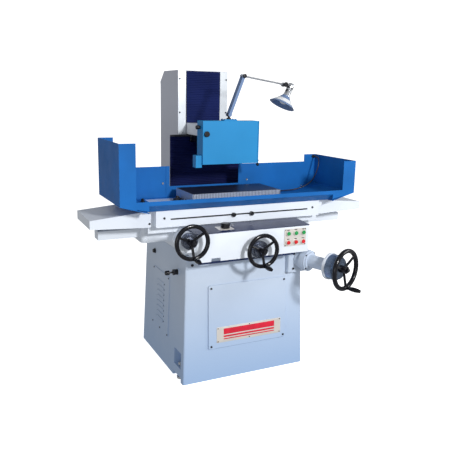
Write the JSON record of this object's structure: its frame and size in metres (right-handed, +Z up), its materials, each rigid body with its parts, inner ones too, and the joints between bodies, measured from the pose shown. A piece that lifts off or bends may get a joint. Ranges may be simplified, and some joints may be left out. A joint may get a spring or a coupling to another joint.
{
  "type": "surface grinder",
  "caption": "Hydraulic surface grinder with a reciprocating table, magnetic chuck, cross-sliding saddle, vertical wheelhead, blue splash guards and a jointed work lamp.",
  "frame": {"origin": "on the floor in the middle of the four levelling screws", "axes": "+Z up, X along the table, -Y towards the operator"},
  "size_m": [1.71, 1.3698, 1.74],
  "materials": {
    "machine_enamel": "pale grey semi-gloss enamel",
    "blue_enamel": "deep blue gloss enamel on sheet steel",
    "dark_enamel": "blue-black satin enamel",
    "handwheel_black": "polished black",
    "ground_steel": "ground bright steel",
    "dial_chrome": "satin chrome with fine divisions",
    "chuck_iron": "ground laminated pole plate",
    "bellows_rubber": "dark blue rubberised cloth",
    "abrasive": "white vitrified abrasive grain",
    "plate_metal": "anodised plate",
    "button_green": "green button",
    "button_red": "red button",
    "knob_black": "moulded black",
    "cable_black": "blue-black flexible sheath",
    "lamp_enamel": "grey-blue enamel"
  },
  "bodies": {
    "base": {"base_casting": "machine_enamel", "access_panel": "machine_enamel", "side_cover": "machine_enamel", "base_screws": "ground_steel", "levelling_screws": "ground_steel", "hydraulic_tank": "machine_enamel", "column_casting": "machine_enamel", "column_cap": "machine_enamel", "way_strips": "ground_steel", "lift_bracket": "machine_enamel", "lower_curtain": "bellows_rubber", "upper_bellows": "bellows_rubber"},
    "lubricator": {"lubricator_plunger": "ground_steel"},
    "lift_wheel": {"lift_handwheel": "handwheel_black", "lift_dial": "dial_chrome"},
    "lift_knob": {"lift_grip": "handwheel_black"},
    "screw": {"lift_screw": "ground_steel"},
    "wheelhead": {"head_casting": "machine_enamel", "wheel_guard": "blue_enamel"},
    "grinding_spindle": {"spindle": "ground_steel", "grinding_wheel": "abrasive"},
    "door": {"guard_door": "blue_enamel"},
    "door_catch": {"door_knob": "knob_black"},
    "cock": {"coolant_cock": "knob_black"},
    "lamp_post": {"lamp_base": "plate_metal"},
    "lamp_arm_1": {"lamp_lower_arm": "plate_metal"},
    "lamp_arm_2": {"lamp_upper_arm": "plate_metal"},
    "lamp_head": {"lamp_shade": "lamp_enamel"},
    "saddle": {"saddle_casting": "machine_enamel", "cylinder_arms": "machine_enamel", "apron_casting": "machine_enamel", "deck_cover": "dark_enamel", "control_plate": "plate_metal"},
    "cross_wheel": {"cross_handwheel": "handwheel_black", "cross_dial": "dial_chrome"},
    "cross_knob": {"cross_grip": "handwheel_black"},
    "traverse_wheel": {"traverse_handwheel": "handwheel_black", "traverse_dial": "dial_chrome"},
    "traverse_knob": {"traverse_grip": "handwheel_black"},
    "speed_valve": {"speed_knob": "knob_black"},
    "table": {"table_casting": "machine_enamel", "end_cover_left": "machine_enamel", "end_cover_right": "machine_enamel", "guard_tray": "blue_enamel", "guard_left": "blue_enamel", "guard_right": "blue_enamel", "guard_back_left": "blue_enamel", "guard_back_right": "blue_enamel", "magnetic_chuck": "chuck_iron", "chuck_cable": "cable_black", "cable_gland": "ground_steel", "piston_rod": "ground_steel"},
    "dog_left": {"trip_dog_left": "knob_black"},
    "dog_right": {"trip_dog_right": "knob_black"},
    "spindle_start": {"spindle_start_button": "button_green"},
    "spindle_stop": {"spindle_stop_button": "button_red"},
    "hydraulic_start": {"hydraulic_start_button": "button_green"},
    "hydraulic_stop": {"hydraulic_stop_button": "button_red"},
    "coolant_start": {"coolant_start_button": "button_green"},
    "coolant_stop": {"coolant_stop_button": "button_red"}
  },
  "joints": [
    {"name": "lubricator_pull", "type": "slide", "parent": "base", "child": "lubricator", "axis": [-1, 0, 0], "range_m": [0, 0.025]},
    {"name": "lift_turn", "type": "hinge", "parent": "base", "child": "lift_wheel", "pos_m": [0.45298, -0.78596, 0.664], "axis": [-0.342, 0.9397, 0], "range_deg": [-27360, 18000]},
    {"name": "lift_knob_spin", "type": "hinge", "parent": "lift_wheel", "child": "lift_knob", "pos_m": [0.46697, -0.78087, 0.55804], "axis": [0.342, -0.9397, 0], "continuous": true},
    {"name": "head_slide", "type": "slide", "parent": "base", "child": "wheelhead", "axis": [0, 0, 1], "range_m": [-0.125, 0.19], "deforming": ["lower_curtain", "upper_bellows"]},
    {"name": "screw_turn", "type": "hinge", "parent": "base", "child": "screw", "pos_m": [0, 0.25, 0.9], "axis": [0, 0, 1], "range_deg": [-9000, 13680]},
    {"name": "spindle_spin", "type": "hinge", "parent": "wheelhead", "child": "grinding_spindle", "pos_m": [0, -0.202, 1.291], "axis": [0, 1, 0], "continuous": true},
    {"name": "door_hinge", "type": "hinge", "parent": "wheelhead", "child": "door", "pos_m": [0.1775, -0.244, 1.33], "axis": [0, 0, 1], "range_deg": [0, 95]},
    {"name": "catch_turn", "type": "hinge", "parent": "door", "child": "door_catch", "pos_m": [-0.155, -0.2442, 1.377], "axis": [0, 1, 0], "range_deg": [0, 90]},
    {"name": "cock_turn", "type": "hinge", "parent": "wheelhead", "child": "cock", "pos_m": [0.186, -0.225, 1.218], "axis": [1, 0, 0], "range_deg": [0, 90]},
    {"name": "lamp_swivel", "type": "hinge", "parent": "wheelhead", "child": "lamp_post", "pos_m": [0.002, -0.202, 1.466], "axis": [0, 0, 1], "range_deg": [-100, 30]},
    {"name": "lamp_shoulder", "type": "hinge", "parent": "lamp_post", "child": "lamp_arm_1", "pos_m": [0.002, -0.202, 1.484], "axis": [0, 1, 0], "range_deg": [-20, 15]},
    {"name": "lamp_elbow", "type": "hinge", "parent": "lamp_arm_1", "child": "lamp_arm_2", "pos_m": [0.088, -0.202, 1.703], "axis": [0, 1, 0], "range_deg": [-35, 15]},
    {"name": "lamp_tilt", "type": "hinge", "parent": "lamp_arm_2", "child": "lamp_head", "pos_m": [0.368, -0.202, 1.662], "axis": [0, 1, 0], "range_deg": [-40, 15]},
    {"name": "saddle_slide", "type": "slide", "parent": "base", "child": "saddle", "axis": [0, 1, 0], "range_m": [-0.165, 0.085]},
    {"name": "cross_turn", "type": "hinge", "parent": "saddle", "child": "cross_wheel", "pos_m": [0.02, -0.626, 0.774], "axis": [0, 1, 0], "range_deg": [-11880, 6120]},
    {"name": "cross_knob_spin", "type": "hinge", "parent": "cross_wheel", "child": "cross_knob", "pos_m": [0.02894, -0.626, 0.68897], "axis": [0, -1, 0], "continuous": true},
    {"name": "table_slide", "type": "slide", "parent": "saddle", "child": "table", "axis": [1, 0, 0], "range_m": [-0.28, 0.185]},
    {"name": "traverse_turn", "type": "hinge", "parent": "saddle", "child": "traverse_wheel", "pos_m": [-0.394, -0.626, 0.858], "axis": [0, 1, 0], "range_deg": [-1260, 832.5]},
    {"name": "traverse_knob_spin", "type": "hinge", "parent": "traverse_wheel", "child": "traverse_knob", "pos_m": [-0.38506, -0.626, 0.77297], "axis": [0, -1, 0], "continuous": true},
    {"name": "speed_turn", "type": "hinge", "parent": "saddle", "child": "speed_valve", "pos_m": [-0.15, -0.5, 0.9], "axis": [0, 0, 1], "range_deg": [-135, 135]},
    {"name": "dog_left_slide", "type": "slide", "parent": "table", "child": "dog_left", "axis": [1, 0, 0], "range_m": [-0.36, 0.08]},
    {"name": "dog_right_slide", "type": "slide", "parent": "table", "child": "dog_right", "axis": [1, 0, 0], "range_m": [-0.08, 0.36]},
    {"name": "spindle_start_press", "type": "slide", "parent": "saddle", "child": "spindle_start", "axis": [0, 1, 0], "range_m": [0, 0.003], "stiffness_N_per_m": 1500, "springref_m": -0.001},
    {"name": "spindle_stop_press", "type": "slide", "parent": "saddle", "child": "spindle_stop", "axis": [0, 1, 0], "range_m": [0, 0.003], "stiffness_N_per_m": 1500, "springref_m": -0.001},
    {"name": "hydraulic_start_press", "type": "slide", "parent": "saddle", "child": "hydraulic_start", "axis": [0, 1, 0], "range_m": [0, 0.003], "stiffness_N_per_m": 1500, "springref_m": -0.001},
    {"name": "hydraulic_stop_press", "type": "slide", "parent": "saddle", "child": "hydraulic_stop", "axis": [0, 1, 0], "range_m": [0, 0.003], "stiffness_N_per_m": 1500, "springref_m": -0.001},
    {"name": "coolant_start_press", "type": "slide", "parent": "saddle", "child": "coolant_start", "axis": [0, 1, 0], "range_m": [0, 0.003], "stiffness_N_per_m": 1500, "springref_m": -0.001},
    {"name": "coolant_stop_press", "type": "slide", "parent": "saddle", "child": "coolant_stop", "axis": [0, 1, 0], "range_m": [0, 0.003], "stiffness_N_per_m": 1500, "springref_m": -0.001}
  ],
  "couplings": [
    {"joint": "head_slide", "follows": "lift_turn", "m_per_rad": -0.00039789},
    {"joint": "screw_turn", "follows": "lift_turn", "ratio": -0.5},
    {"joint": "saddle_slide", "follows": "cross_turn", "m_per_rad": 0.00079577},
    {"joint": "table_slide", "follows": "traverse_turn", "m_per_rad": 0.012732}
  ]
}
